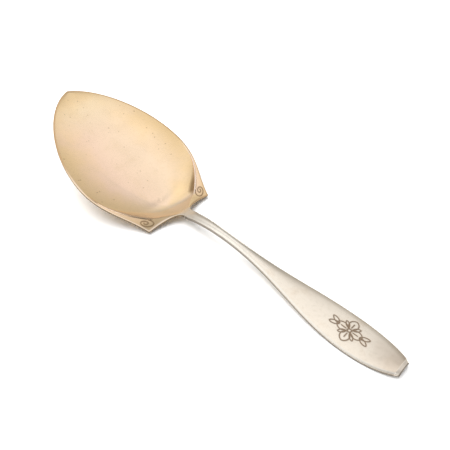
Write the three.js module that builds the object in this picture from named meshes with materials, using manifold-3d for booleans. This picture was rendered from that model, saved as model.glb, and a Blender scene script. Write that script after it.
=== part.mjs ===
// A silver cake server: a gilt, dished blade soldered to a struck handle.
// Millimetres, +Z up. The server lies as it does on a table at z = 0, on the heel of its bowl and on the
// flat under its grip. The blade points to -X and the handle to +X, mirrored about the plane y = 0.

import * as THREE from 'three';
import { mergeVertices } from 'three/addons/utils/BufferGeometryUtils.js';
import Module from 'manifold-3d';

const wasm = await Module();
wasm.setup();

// Blade, in its own rim plane: u runs from the tip to the back, v to the side and h upwards
const BLADE_LENGTH = 108.7; // tip to the line through the back corners
const BLADE_WIDTH = 73.6;
const BLADE_RISE = 20.1; // degrees between the rim plane and the table
const WIDEST_FROM_TIP = 65.7;
const SHEET = 1;
const TIP_ANGLE = 72; // degrees between the axis and the edge where it leaves the tip
const TIP_PULL = 19; // how strongly the edge keeps that direction
const FRONT_PULL = 30; // fullness of the side in front of the widest place
const BACK_PULL = 19; // and behind it
const CORNER_SPAN = 44.6;
const CORNER_FLARE = 16.5; // degrees between the axis and the edge where it reaches a corner
const CORNER_PULL = 15;
const BACK_EDGE_PULL = 10.3; // how far the back edge runs inwards before it turns to the tab
const BACK_EDGE_HOLLOW = 0.8; // and how far forwards
const TAB_LENGTH = 5; // the tab that carries the handle, behind the corners
const TAB_WIDTH = 7;
const TAB_PULL = 4.5;

// Bowl: the mouth follows the edge in front and leaves two flat ears at the back
const BOWL_DEPTH = 6.5;
const DEEPEST_FROM_BACK = 16; // in front of the line through the corners
const RIM_LAND = 1;
const EAR_DEPTH = 8; // mouth to the corner line, where the mouth passes a corner
const EAR_INSET = 4.1; // and across the blade
const MOUTH_ANGLE = 46; // degrees between the axis and the mouth at that place
const MOUTH_WIDEST_PULL = 15;
const MOUTH_FRONT_PULL = 14.2;
const MOUTH_BACK_PULL = 5.7;
const MOUTH_TAB_ANGLE = 30;
const MOUTH_TAB_PULL = 6.2;
const WALL_POWER = 2.3; // across the dish: 2 gives a parabola, more a flatter floor and a steeper wall
const FLOOR_STEEPNESS = 2.5; // the same along the axis, from the deepest place to the tip
const NECK_STEEPNESS = 1.5; // and to the neck
const NECK_RISE = 7; // the back of the rim bends up to the handle by this much
const BEND_LENGTH = 18;
const BEND_HALF_WIDTH = 24;
const HEEL_FLAT_DEPTH = 0.12; // what is dressed off the heel so that it rests flat

// Ridge along the mouth and the scrolls in which it ends
const RIDGE_HEIGHT = 0.4;
const RIDGE_WIDTH = 0.9;
const RIDGE_FULL_AT = 0.5; // share of the side behind the widest place over which the ridge grows
const RIDGE_FADES_FROM = 0.2; // shares of the back edge over which it dies away again
const RIDGE_GONE_AT = 0.9;
const SCROLL_LENGTH = 9;
const SCROLL_WIDTH = 5.4;
const SCROLL_GAP = 0.5; // ridge to scroll
const SCROLL_SHIFT = 0.7; // along the mouth, towards the tab
const SCROLL_TURNS = 1.6;
const SCROLL_EYE = 0.28; // size of the innermost turn against the outermost
const SCROLL_DRIFT = 1; // how far the eye lies towards the front of the scroll
const GROOVE_RADIUS = 0.45;
const GROOVE_DEPTH = 0.3;

// Handle, from the neck to its end
const HANDLE_LENGTH = 133;
const NECK_INSET = 0.4; // how far the neck stays inside the tab on each side
const WAIST_WIDTH = 4.7;
const WAIST_FROM_NECK = 31;
const NECK_PULL = 9;
const WAIST_PULL = 36;
const GRIP_WIDTH = 20.2;
const GRIP_FROM_END = 26.5;
const GRIP_FRONT_PULL = 25;
const GRIP_BACK_PULL = 9;
const END_WIDTH = 8.6;
const END_ANGLE = 28; // degrees between the axis and the side at the end
const END_PULL = 7;
const ARCH_HEIGHT = 10.2; // top edge of the stem where it is highest
const ARCH_FROM_NECK = 21.5;
const LOW_FROM_END = 20; // where the grip is lowest
const GRIP_FLAT_DEPTH = 0.2; // what is dressed off below the grip so that it rests flat
const END_LIFT = 1.35;
const STEM_THICKNESS = 2.9;
const GRIP_THICKNESS = 2.2;
const STEM_CROWN = 0.5;
const GRIP_CROWN = 0.7;
const BEVEL_WIDTH = 1.1;
const BEVEL_HEIGHT = 0.55;
const LOWER_EDGE = 0.45;
const END_BEVEL = 1.2; // length of the bevel across the end
const SHOULDER_LENGTH = 6; // over which the crown and the bevels grow out of the flat neck

// Soldered lap joint under the back of the bowl
const TONGUE_LENGTH = 9; // forwards from the end of the tab
const TONGUE_TIP_WIDTH = 3.6;
const TONGUE_TIP_THICKNESS = 0.7;
const JOINT_GAP = 0.4; // filled by the solder
const JOINT_CLEARANCE = 0.05; // between the solder and either face
const SOLDER_LIP = 0.5; // solder that shows round the tongue

// How finely curves and surfaces are divided
const FRONT_STEPS = 22;
const SIDE_STEPS = 14;
const BACK_STEPS = 12;
const TAB_STEPS = 3;
const BOWL_RINGS = 13;
const RING_CROWDING = 1.35; // above 1 the rings crowd towards the mouth
const EAR_RINGS = 3;
const GROOVE_SIDES = 8;
const GROOVE_STEPS = 36;
const TONGUE_STEPS = 8;
const NECK_STEPS = 14;
const STEM_STEPS = 28;
const GRIP_STEPS = 12;
const CROWN_STEPS = 3;

const GILT = { color: 0xe3bd7c, metalness: 1, roughness: 0.3 };
const SILVER = { color: 0xd8d2c8, metalness: 1, roughness: 0.28 };
const SOLDER = { color: 0xb9b3a6, metalness: 1, roughness: 0.45 };

const rise = THREE.MathUtils.degToRad(BLADE_RISE);
const tabBack = BLADE_LENGTH + TAB_LENGTH;
const deepest = BLADE_LENGTH - DEEPEST_FROM_BACK;

function polar(length, degrees) {
  const angle = THREE.MathUtils.degToRad(degrees);
  return new THREE.Vector2(length * Math.cos(angle), length * Math.sin(angle));
}

function smooth(from, to, value) {
  return THREE.MathUtils.smoothstep(value, from, to);
}

// Solids for joining and cutting
function toSolid(geometry) {
  const plain = geometry.clone();
  plain.deleteAttribute('normal');
  plain.deleteAttribute('uv');
  const merged = mergeVertices(plain, 1e-5);
  return new wasm.Manifold(new wasm.Mesh({
    numProp: 3,
    vertProperties: new Float32Array(merged.attributes.position.array),
    triVerts: new Uint32Array(merged.index.array),
  }));
}

function toGeometry(solid) {
  const mesh = solid.getMesh();
  const geometry = new THREE.BufferGeometry();
  geometry.setAttribute('position', new THREE.BufferAttribute(mesh.vertProperties, 3));
  geometry.setIndex(new THREE.BufferAttribute(mesh.triVerts, 1));
  geometry.computeVertexNormals();
  return geometry;
}

function named(name, geometry, look) {
  const mesh = new THREE.Mesh(geometry, new THREE.MeshStandardMaterial(look));
  mesh.name = name;
  return mesh;
}

// Outline of one half of the blade, with the mouth of the bowl beside it
const tip = new THREE.Vector2(0, 0);
const widest = new THREE.Vector2(WIDEST_FROM_TIP, BLADE_WIDTH / 2);
const corner = new THREE.Vector2(BLADE_LENGTH, CORNER_SPAN / 2);
const tabCorner = new THREE.Vector2(tabBack, TAB_WIDTH / 2);
const mouthWidest = new THREE.Vector2(widest.x, widest.y - RIM_LAND);
const mouthCorner = new THREE.Vector2(BLADE_LENGTH - EAR_DEPTH, CORNER_SPAN / 2 - EAR_INSET);
const mouthTab = new THREE.Vector2(tabBack - RIM_LAND, TAB_WIDTH / 2 - RIM_LAND);
const mouthDirection = polar(1, -MOUTH_ANGLE);

function bezier(start, startPull, endPull, end) {
  return new THREE.CubicBezierCurve(start, start.clone().add(startPull), end.clone().sub(endPull), end);
}

const along = (length) => new THREE.Vector2(length, 0);
const frontEdge = bezier(tip, polar(TIP_PULL, TIP_ANGLE), along(FRONT_PULL), widest);
const sideEdge = bezier(widest, along(BACK_PULL), polar(CORNER_PULL, -CORNER_FLARE), corner);
const backEdgeStart = new THREE.Vector2(-BACK_EDGE_HOLLOW, -BACK_EDGE_PULL);
const backEdge = bezier(corner, backEdgeStart, along(TAB_PULL), tabCorner);
const mouthSide = bezier(
  mouthWidest,
  along(MOUTH_WIDEST_PULL),
  mouthDirection.clone().multiplyScalar(MOUTH_FRONT_PULL),
  mouthCorner,
);
const mouthBack = bezier(
  mouthCorner,
  mouthDirection.clone().multiplyScalar(MOUTH_BACK_PULL),
  polar(MOUTH_TAB_PULL, -MOUTH_TAB_ANGLE),
  mouthTab,
);

// One entry for each place round the half outline: its edge, its mouth and how much of the ridge it carries
function halfOutline(grow) {
  const places = [];
  const add = (edge, outward, mouth, ridge) => {
    places.push({ edge: edge.clone().addScaledVector(outward, grow), mouth, ridge });
  };
  const outwardOf = (curve, t) => {
    const tangent = curve.getTangent(t);
    return new THREE.Vector2(-tangent.y, tangent.x);
  };
  const tipLand = RIM_LAND / Math.sin(THREE.MathUtils.degToRad(TIP_ANGLE));
  add(tip, new THREE.Vector2(-1, 0), new THREE.Vector2(tipLand, 0), 0);
  for (let i = 1; i <= FRONT_STEPS; i++) {
    const t = i / FRONT_STEPS;
    const edge = frontEdge.getPoint(t);
    const outward = outwardOf(frontEdge, t);
    add(edge, outward, edge.clone().addScaledVector(outward, -RIM_LAND), 0);
  }
  for (let i = 1; i <= SIDE_STEPS; i++) {
    const t = i / SIDE_STEPS;
    const ridge = smooth(0, RIDGE_FULL_AT, t);
    add(sideEdge.getPoint(t), outwardOf(sideEdge, t), mouthSide.getPoint(t), ridge);
  }
  for (let i = 1; i <= BACK_STEPS; i++) {
    const t = i / BACK_STEPS;
    const ridge = 1 - smooth(RIDGE_FADES_FROM, RIDGE_GONE_AT, t);
    add(backEdge.getPoint(t), outwardOf(backEdge, t), mouthBack.getPoint(t), ridge);
  }
  for (let i = 1; i <= TAB_STEPS; i++) {
    const across = 1 - i / TAB_STEPS;
    const edge = new THREE.Vector2(tabCorner.x, tabCorner.y * across);
    const mouth = new THREE.Vector2(mouthTab.x, mouthTab.y * across);
    add(edge, new THREE.Vector2(1, 0), mouth, 0);
  }
  return places;
}

// Height of the rim over its plane: flat, except where the back bends up to the handle
function rimHeight(u, v) {
  const bend = Math.max(0, (u - tabBack + BEND_LENGTH) / BEND_LENGTH);
  const across = Math.cos(Math.min(1, Math.abs(v) / BEND_HALF_WIDTH) * Math.PI / 2);
  return NECK_RISE * bend ** 2 * across ** 2;
}

// Share of the climb from the deepest place at a share of the way along the axis
function climbShare(way, steepness) {
  return (3 - steepness) * way ** 2 + (steepness - 2) * way ** 3;
}

const mouthLine = halfOutline(0).map((place) => place.mouth);

function axisHeight(u) {
  if (u < deepest) {
    const way = (deepest - u) / (deepest - mouthLine[0].x);
    return BOWL_DEPTH * (climbShare(way, FLOOR_STEEPNESS) - 1);
  }
  const way = (u - deepest) / (mouthTab.x - deepest);
  return (BOWL_DEPTH + rimHeight(mouthTab.x, 0)) * climbShare(way, NECK_STEEPNESS) - BOWL_DEPTH;
}

// The bowl rises from its axis to the mouth along a section across the blade
function bowlHeight(u, v) {
  const after = Math.max(1, mouthLine.findIndex((mouth) => mouth.x >= u));
  const [from, to] = [mouthLine[after - 1], mouthLine[after]];
  const mouth = from.clone().lerp(to, (u - from.x) / (to.x - from.x));
  const share = mouth.y > 0 ? Math.abs(v) / mouth.y : 0;
  const floor = axisHeight(u);
  return floor + (rimHeight(mouth.x, mouth.y) - floor) * share ** WALL_POWER;
}

function bowlPoint(place, way) {
  const u = THREE.MathUtils.lerp(deepest, place.mouth.x, way);
  const v = place.mouth.y * way;
  return new THREE.Vector3(u, v, bowlHeight(u, v));
}

function earPoint(place, way) {
  const flat = place.mouth.clone().lerp(place.edge, way);
  return new THREE.Vector3(flat.x, flat.y, rimHeight(flat.x, flat.y));
}

// Rows of points from the deepest place outwards, each mirrored into a full ring
function bladeRows(grow) {
  const places = halfOutline(grow);
  const rows = [];
  for (let ring = 1; ring < BOWL_RINGS; ring++) {
    const way = 1 - (1 - ring / BOWL_RINGS) ** RING_CROWDING;
    rows.push(places.map((place) => bowlPoint(place, way)));
  }
  rows.push(places.map((place) => {
    const point = bowlPoint(place, 1);
    point.z += RIDGE_HEIGHT * place.ridge;
    return point;
  }));
  for (let ring = 0; ring < EAR_RINGS; ring++) {
    rows.push(places.map((place) => {
      const ridgeShare = Math.min(0.5, RIDGE_WIDTH / place.mouth.distanceTo(place.edge));
      return earPoint(place, THREE.MathUtils.lerp(ridgeShare, 1, ring / (EAR_RINGS - 1)));
    }));
  }
  return rows.map((half) => {
    const mirrored = half.slice(1, -1).reverse().map((p) => new THREE.Vector3(p.x, -p.y, p.z));
    return half.concat(mirrored);
  });
}

// The blade's upper surface as an indexed sheet of triangles, seen from above
function bladeSheet(grow) {
  const rows = bladeRows(grow);
  const count = rows[0].length;
  const points = [new THREE.Vector3(deepest, 0, -BOWL_DEPTH), ...rows.flat()];
  const triangles = [];
  const at = (row, column) => 1 + row * count + column % count;
  for (let column = 0; column < count; column++) {
    triangles.push(0, at(0, column + 1), at(0, column));
  }
  for (let row = 0; row + 1 < rows.length; row++) {
    for (let column = 0; column < count; column++) {
      const [a, b] = [at(row, column), at(row, column + 1)];
      const [c, d] = [at(row + 1, column + 1), at(row + 1, column)];
      triangles.push(a, b, d, b, c, d);
    }
  }
  const rim = Array.from({ length: count }, (_, column) => at(rows.length - 1, column));
  return { points, triangles, rim };
}

// A closed body between two offsets of the sheet along its normals
function thickened(sheet, up, down) {
  const skin = new THREE.BufferGeometry().setFromPoints(sheet.points);
  skin.setIndex(sheet.triangles);
  skin.computeVertexNormals();
  const normals = skin.attributes.normal;
  const size = sheet.points.length;
  const offset = (distance) => sheet.points.map((point, i) => {
    return new THREE.Vector3().fromBufferAttribute(normals, i).multiplyScalar(distance).add(point);
  });
  const index = [...sheet.triangles];
  for (let i = 0; i < sheet.triangles.length; i += 3) {
    const [a, b, c] = sheet.triangles.slice(i, i + 3);
    index.push(size + a, size + c, size + b);
  }
  sheet.rim.forEach((a, i) => {
    const b = sheet.rim[(i + 1) % sheet.rim.length];
    index.push(a, b, size + b, a, size + b, size + a);
  });
  const body = new THREE.BufferGeometry().setFromPoints([...offset(up), ...offset(-down)]);
  body.setIndex(index);
  return body;
}

// The blade is turned up about the side axis and lifted until its heel lies just below the table,
// so that dressing it at z = 0 leaves a small flat
const sheet = bladeSheet(0);
const bladeTurn = new THREE.Matrix4().makeRotationY(rise);
const turnedBlade = thickened(sheet, 0, SHEET).applyMatrix4(bladeTurn);
turnedBlade.computeBoundingBox();
const lift = -turnedBlade.boundingBox.min.z - HEEL_FLAT_DEPTH;
const bladePose = new THREE.Matrix4().makeTranslation(0, 0, lift).multiply(bladeTurn);

// Scroll cut into an ear, as a round groove along a closing spiral; side is 1 or -1
function scrollGroove(side) {
  const inward = new THREE.Vector2(mouthDirection.y, -mouthDirection.x);
  const centre = mouthCorner.clone().addScaledVector(inward, -SCROLL_GAP - SCROLL_WIDTH / 2);
  centre.addScaledVector(mouthDirection, SCROLL_SHIFT);
  const points = [];
  for (let i = 0; i <= GROOVE_STEPS; i++) {
    const share = i / GROOVE_STEPS;
    const turn = share * SCROLL_TURNS * 2 * Math.PI;
    const size = THREE.MathUtils.lerp(1, SCROLL_EYE, share);
    const flat = centre.clone();
    flat.addScaledVector(mouthDirection, Math.sin(turn) * size * SCROLL_LENGTH / 2 - SCROLL_DRIFT * share);
    flat.addScaledVector(inward, Math.cos(turn) * size * SCROLL_WIDTH / 2);
    const height = rimHeight(flat.x, flat.y) + GROOVE_RADIUS - GROOVE_DEPTH;
    points.push(new THREE.Vector3(flat.x, side * flat.y, height));
  }
  const section = new THREE.Shape();
  section.absarc(0, 0, GROOVE_RADIUS, 0, 2 * Math.PI);
  return new THREE.ExtrudeGeometry(section, {
    extrudePath: new THREE.CatmullRomCurve3(points),
    steps: GROOVE_STEPS,
    curveSegments: GROOVE_SIDES,
    bevelEnabled: false,
  }).applyMatrix4(bladePose);
}

function makeBlade() {
  const under = new THREE.BoxGeometry(2 * tabBack, 2 * BLADE_WIDTH, 2 * SHEET);
  under.translate(tabBack / 2, 0, -SHEET);
  let solid = toSolid(thickened(sheet, 0, SHEET).applyMatrix4(bladePose)).subtract(toSolid(under));
  for (const side of [1, -1]) {
    solid = solid.subtract(toSolid(scrollGroove(side)));
  }
  return named('blade', toGeometry(solid), GILT);
}

// Places on the axis of the blade's upper surface, where the handle takes over
function axisPoint(u) {
  return new THREE.Vector3(u, 0, axisHeight(u)).applyMatrix4(bladePose);
}

const neck = new THREE.Vector3(tabBack, 0, rimHeight(tabBack, 0)).applyMatrix4(bladePose);
const beforeNeck = axisPoint(mouthTab.x);
const neckSlope = (neck.z - beforeNeck.z) / (neck.x - beforeNeck.x);
const tongueTip = axisPoint(tabBack - TONGUE_LENGTH);
const tongueTipBottom = tongueTip.z - SHEET - JOINT_GAP - TONGUE_TIP_THICKNESS;
const endX = neck.x + HANDLE_LENGTH;

// Plan of the handle: half widths along x
const onPlan = (x, width) => new THREE.Vector2(x, width / 2);
const neckPlan = onPlan(neck.x, TAB_WIDTH - 2 * NECK_INSET);
const waistPlan = onPlan(neck.x + WAIST_FROM_NECK, WAIST_WIDTH);
const gripPlan = onPlan(endX - GRIP_FROM_END, GRIP_WIDTH);
const endPlan = onPlan(endX, END_WIDTH);
const endTaper = END_BEVEL * Math.tan(THREE.MathUtils.degToRad(END_ANGLE));
const bevelPlan = onPlan(endX - END_BEVEL, END_WIDTH + 2 * endTaper);
const tonguePlan = onPlan(tongueTip.x, TONGUE_TIP_WIDTH);
const tongueSide = new THREE.LineCurve(tonguePlan, neckPlan);
const neckSide = bezier(neckPlan, along(NECK_PULL), along(NECK_PULL), waistPlan);
const stemSide = bezier(waistPlan, along(WAIST_PULL), along(GRIP_FRONT_PULL), gripPlan);
const gripSide = bezier(gripPlan, along(GRIP_BACK_PULL), polar(END_PULL, -END_ANGLE), bevelPlan);

// Height of the handle's upper edges along x
const archX = neck.x + ARCH_FROM_NECK;
const lowX = endX - LOW_FROM_END;
const lowHeight = GRIP_THICKNESS - GRIP_FLAT_DEPTH;

function topEdge(x) {
  if (x < neck.x) {
    return neck.z + neckSlope * (x - neck.x);
  }
  if (x < archX) {
    const t = (x - neck.x) / (archX - neck.x);
    const climb = neckSlope * (archX - neck.x) * t * (1 - t) ** 2;
    return climb + THREE.MathUtils.lerp(neck.z, ARCH_HEIGHT, smooth(0, 1, t));
  }
  if (x < lowX) {
    return THREE.MathUtils.lerp(ARCH_HEIGHT, lowHeight, smooth(archX, lowX, x));
  }
  return lowHeight + END_LIFT * ((x - lowX) / LOW_FROM_END) ** 2;
}

function bottomEdge(x) {
  const thickness = THREE.MathUtils.lerp(STEM_THICKNESS, GRIP_THICKNESS, smooth(archX, gripPlan.x, x));
  if (x < neck.x) {
    const neckBottom = topEdge(neck.x) - STEM_THICKNESS;
    return THREE.MathUtils.mapLinear(x, tongueTip.x, neck.x, tongueTipBottom, neckBottom);
  }
  return Math.max(0, topEdge(x) - thickness);
}

// Section of the handle at x: flat below, bevelled upper edges and a crowned top
function handleSection(x, halfWidth, topDrop) {
  const top = topEdge(x) - topDrop;
  const bottom = bottomEdge(x);
  const shaping = smooth(neck.x, neck.x + SHOULDER_LENGTH, x);
  const crown = shaping * THREE.MathUtils.lerp(STEM_CROWN, GRIP_CROWN, smooth(archX, gripPlan.x, x));
  const shoulder = halfWidth - BEVEL_WIDTH;
  const half = [
    [halfWidth - LOWER_EDGE, bottom],
    [halfWidth, bottom + LOWER_EDGE],
    [halfWidth, top - shaping * BEVEL_HEIGHT],
  ];
  for (let i = CROWN_STEPS; i >= 0; i--) {
    const way = i / CROWN_STEPS;
    half.push([shoulder * way, top + crown * (1 - way ** 2)]);
  }
  const other = half.slice(0, -1).reverse().map(([y, z]) => [-y, z]);
  return half.concat(other).map(([y, z]) => new THREE.Vector3(x, y, z));
}

// A closed body through a row of sections with equal numbers of points
function loft(sections) {
  const count = sections[0].length;
  const index = [];
  for (let i = 0; i + 1 < sections.length; i++) {
    for (let k = 0; k < count; k++) {
      const [a, b] = [i * count + k, i * count + (k + 1) % count];
      index.push(a, b, a + count, b, b + count, a + count);
    }
  }
  const last = (sections.length - 1) * count;
  const outline = sections[0].map((p) => new THREE.Vector2(p.y, p.z));
  for (const [a, b, c] of THREE.ShapeUtils.triangulateShape(outline, [])) {
    index.push(a, c, b, last + a, last + b, last + c);
  }
  const body = new THREE.BufferGeometry().setFromPoints(sections.flat());
  body.setIndex(index);
  return body;
}

function makeHandle() {
  const sides = [
    [tongueSide, TONGUE_STEPS],
    [neckSide, NECK_STEPS],
    [stemSide, STEM_STEPS],
    [gripSide, GRIP_STEPS],
  ];
  const plan = [tonguePlan];
  for (const [side, steps] of sides) {
    plan.push(...side.getPoints(steps).slice(1));
  }
  const sections = plan.map((p) => handleSection(p.x, p.y, 0));
  sections.push(handleSection(endX, endPlan.y, BEVEL_HEIGHT));
  const seat = thickened(bladeSheet(JOINT_GAP), STEM_THICKNESS, SHEET + JOINT_GAP).applyMatrix4(bladePose);
  return named('handle', toGeometry(toSolid(loft(sections)).subtract(toSolid(seat))), SILVER);
}

// Film of solder between the tongue and the blade, with a narrow lip round the tongue
function makeSolder() {
  const film = thickened(sheet, -(SHEET + JOINT_CLEARANCE), SHEET + JOINT_GAP - JOINT_CLEARANCE);
  const front = tonguePlan.x - SOLDER_LIP;
  const back = neck.x + TAB_LENGTH;
  const plan = new THREE.Shape([
    new THREE.Vector2(front, -tonguePlan.y - SOLDER_LIP),
    new THREE.Vector2(back, -neckPlan.y),
    new THREE.Vector2(back, neckPlan.y),
    new THREE.Vector2(front, tonguePlan.y + SOLDER_LIP),
  ]);
  const block = new THREE.ExtrudeGeometry(plan, { depth: ARCH_HEIGHT, bevelEnabled: false });
  const solid = toSolid(film.applyMatrix4(bladePose)).intersect(toSolid(block));
  return named('solder_seam', toGeometry(solid), SOLDER);
}

const server = new THREE.Group();
server.add(makeBlade(), makeHandle(), makeSolder());

// The origin lies below the middle of the length, on the table
const extent = new THREE.Box3().setFromObject(server);
server.position.x = -(extent.min.x + extent.max.x) / 2;

export default server;
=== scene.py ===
"""A silver cake server with a gilt blade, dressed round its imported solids.

Sizes are in millimetres in the row's frame: +X from the blade's tip to the end of the handle, +Y to
the right as seen from the handle, and +Z up from the table. Meshes are turned into metres where
they are made. Where a constant is a pair of limits, a change begins at the first and is complete at
the second.
"""

import math
from types import SimpleNamespace

import bpy
import numpy as np
from mathutils import Matrix, Vector


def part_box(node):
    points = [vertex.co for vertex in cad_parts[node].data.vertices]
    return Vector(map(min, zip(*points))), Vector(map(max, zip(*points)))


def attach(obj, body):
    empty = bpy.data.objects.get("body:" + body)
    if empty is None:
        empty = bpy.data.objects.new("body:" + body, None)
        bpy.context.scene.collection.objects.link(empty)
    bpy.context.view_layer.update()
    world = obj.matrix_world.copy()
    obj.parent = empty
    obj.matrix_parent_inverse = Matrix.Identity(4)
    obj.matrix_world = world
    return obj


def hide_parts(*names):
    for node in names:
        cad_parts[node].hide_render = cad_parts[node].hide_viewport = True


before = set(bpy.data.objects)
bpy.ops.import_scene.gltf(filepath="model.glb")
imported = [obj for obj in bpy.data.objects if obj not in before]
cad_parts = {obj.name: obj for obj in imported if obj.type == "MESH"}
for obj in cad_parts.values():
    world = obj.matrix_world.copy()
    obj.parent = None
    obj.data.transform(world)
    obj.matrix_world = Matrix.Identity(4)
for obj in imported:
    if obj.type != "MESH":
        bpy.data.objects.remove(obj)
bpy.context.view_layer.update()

MM = 0.001
TINY = 1e-12
FAR = 1e3
SHARP_ANGLE = math.radians(40)

# Blade, in its own rim plane: u from the tip to the back, v to the side and h upwards
BLADE_LENGTH = 108.7
BLADE_WIDTH = 73.6
BLADE_RISE = math.radians(20.1)
WIDEST_FROM_TIP = 65.7
SHEET = 1.0
TIP_ANGLE = 72
TIP_PULL = 19
FRONT_PULL = 30
BACK_PULL = 19
CORNER_SPAN = 44.6
CORNER_FLARE = 16.5
CORNER_PULL = 15
CORNER_ROUNDING = 0.9
BACK_EDGE_PULL = 10.3
BACK_EDGE_HOLLOW = 0.8
TAB_LENGTH = 5
TAB_WIDTH = 6.3
TAB_PULL = 4.5
RIM_ROUNDING = 0.28
ROUNDING_FADES = (0.7, 1)

# Bowl of the blade
BOWL_DEPTH = 6.5
DEEPEST_FROM_BACK = 16
RIM_LAND = 1
EAR_DEPTH = 8
EAR_INSET = 4.1
MOUTH_ANGLE = 46
MOUTH_WIDEST_PULL = 15
MOUTH_FRONT_PULL = 14.2
MOUTH_BACK_PULL = 5.7
MOUTH_TAB_ANGLE = 30
MOUTH_TAB_PULL = 6.2
WALL_POWER = 2.3
FLOOR_STEEPNESS = 2.5
NECK_STEEPNESS = 1.5
FLOOR_EASING = 6
EASING_SAMPLES = 11
NECK_RISE = 7
BEND_LENGTH = 18
BEND_HALF_WIDTH = 24

# Ridge along the mouth of the bowl; its crest is given in shares of its width
RIDGE_HEIGHT = 0.6
RIDGE_WIDTH = 1.0
RIDGE_FOOT = 0.9
RIDGE_CREST = (0.15, 0.25)
RIDGE_MOST_OF_LAND = 0.5
RIDGE_GROWS = (0, 0.5)
RIDGE_FADES = (0.05, 0.24)

# Scroll on each ear
SCROLL_LENGTH = 9
SCROLL_WIDTH = 5.4
SCROLL_GAP = 0.5
SCROLL_SHIFT = 0.7
SCROLL_TURNS = 1.75
SCROLL_EYE = 0.08
SCROLL_DRIFT = 1
SCROLL_LINE = 0.3
SCROLL_DEPTH = 0.22
SCROLL_SAMPLES = 400

# Points of the blade's mesh: columns along half of its outline, rows from the deepest place out
FRONT_COLUMNS = 100
SIDE_SPLIT = 0.6
SIDE_COLUMNS = (39, 89)
BACK_SPLIT = 0.5
BACK_COLUMNS = (79, 39)
TAB_COLUMNS = 12
BOWL_ROWS = 48
BOWL_CROWDING = 1.6
RIDGE_ROWS = 10
EAR_ROWS = 42
RIM_ROWS = 5
LOWER_BOWL_STEP = 4
LOWER_LAND_STEP = 6

# Distances to engraved lines: how far round a line they are found, and for how many places at once
LINE_MARGIN = 2
LINE_BATCH = 4000

# Wear, dirt, painted shade and painted highlights of the blade: places in millimetres, tilt in
# degrees, the rest as shares
WORN_REACH = 20
MIDDLE_INSIDE = 1.9
MIDDLE_FADES = (0.05, 0.45)
FRONT_PALER = 0.6
FRONT_GROWS = (4, 14)
FRONT_FADES = (24, 46)
SCROLL_DIRT_RIGHT = 0.9
SCROLL_DIRT_LEFT = 0.68
# Painted shade at the bowl's mouth: a pocket on the steep wall beside the right ridge, and a thin
# line beside the left ridge
MOUTH_SHADE_GROWS = (0.4, 0.9)
MOUTH_SHADE_FADES = (-0.05, 0.3)
MOUTH_SHADE_RIGHT = 0.85
MOUTH_SHADE_WIDTH = 4.5
MOUTH_SHADE_LEAST_WIDTH = 0.25
MOUTH_SHADE_EDGE = (-1, -0.4)
MOUTH_SHADE_PAST_MOUTH = 0.2
MOUTH_SHADE_LEFT = 0.45
MOUTH_SHADE_LINE = 0.5
MOUTH_SHADE_LINE_FADES = (BLADE_LENGTH - 4, BLADE_LENGTH + 2)
# Painted highlight on the ridge's crest, weaker on the left
CREST_LEFT = 0.1
LAND_REACH = 4.5
EDGE_WIDTH = 1.4
# Painted highlight along the left edge grows over these places
EDGE_HIGHLIGHT_GROWS = (45, 65)
EAR_RIGHT = 0.5
EAR_RIGHT_FADES = (1, 11)
EAR_LEFT_GROWS = (78, 104)
TIP_REACH = 12
NECK_FADE_LENGTH = 6.5
NECK_FADE_WIDTH = 7
NECK_FADE_SIDES = (0.5, 1)
# Painted shade on the left land near the neck, between the blade and the stem
NECK_LAND_GROWS = (101, 106)
# Painted shade on the heel: the back wall darker behind a bent line, and more towards the neck
HEEL_LINE = 99.0
HEEL_LEAN_RIGHT = 0.33
HEEL_LEAN_LEFT = 0.9
HEEL_BEND_LEFT = 0.075
HEEL_SOFTNESS = 1.7
HEEL_SOFTER_LEFT = 2
HEEL_SOFTER_SIDES = (-10, 0)
HEEL_SIDES = (-22, -16, -10, 0, 14)
HEEL_SHARES = (0, 0.22, 0.42, 0.5, 1.15)
HEEL_PALER = 1.4
HEEL_PALE_ALONG = (99, 104)
HEEL_PALE_SIDES = (-6, 2)
GROWTH_FROM = 100
GROWTH_LEAN = 0.8
GROWTH_LEAST = 94
GROWTH_LENGTH = 8
GROWTH_SIDES = (-12, -4, 0, 8)
GROWTH_SHARES = (0.6, 1.2, 1.2, 0.5)
# Painted shade on the bowl's steep walls, by their tilt
STEEP_TILT = (24, 32)
STEEP_BEHIND = 75
STEEP_FADES = (2, 12)
STEEP_INNER = 0.6
STEEP_INNER_SIDES = (-20, -13)

# Handle
HANDLE_LENGTH = 133
NECK_INSET = 0.05
WAIST_WIDTH = 4.7
WAIST_FROM_NECK = 31
NECK_PULL = 9
WAIST_PULL = 36
GRIP_WIDTH = 20.2
GRIP_FROM_END = 26.5
GRIP_FRONT_PULL = 25
GRIP_BACK_PULL = 9
END_WIDTH = 8.6
END_ANGLE = 28
END_PULL = 7
ARCH_HEIGHT = 10.2
ARCH_FROM_NECK = 21.5
LOW_FROM_END = 20
GRIP_FLAT_DEPTH = 0.2
END_LIFT = 1.35
STEM_THICKNESS = 2.9
GRIP_THICKNESS = 2.2
STEM_CROWN = 0.5
GRIP_CROWN = 0.7
CROWN_SHARE = 0.8
BEVEL_WIDTH = 0.85
BEVEL_HEIGHT = 0.5
LOWER_EDGE = 0.45
SIDE_SHARE = 0.6
END_BEVEL = 1.9
TONGUE_LENGTH = 9
TONGUE_TIP_WIDTH = 3.6
TONGUE_TIP_THICKNESS = 0.7
TONGUE_BEVEL = 0.1
JOINT_GAP = 0.4
SHOULDER_LENGTH = 6
EDGE_ROUNDING = 0.3
EDGE_ROUNDING_MOST = 0.45
END_ROUNDING = 0.3
END_FACE_INSET = 1.5 * END_ROUNDING

# Points of the handle's mesh
CROWN_COLUMNS = 63
EDGE_COLUMNS = 5
OUTLINE_SAMPLES = 400
TONGUE_SECTIONS = 24
STEM_SECTIONS = 150
ORNAMENT_SECTIONS = 179
GRIP_SECTIONS = 59
BEVEL_SECTIONS = 5
END_SECTIONS = 4

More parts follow.
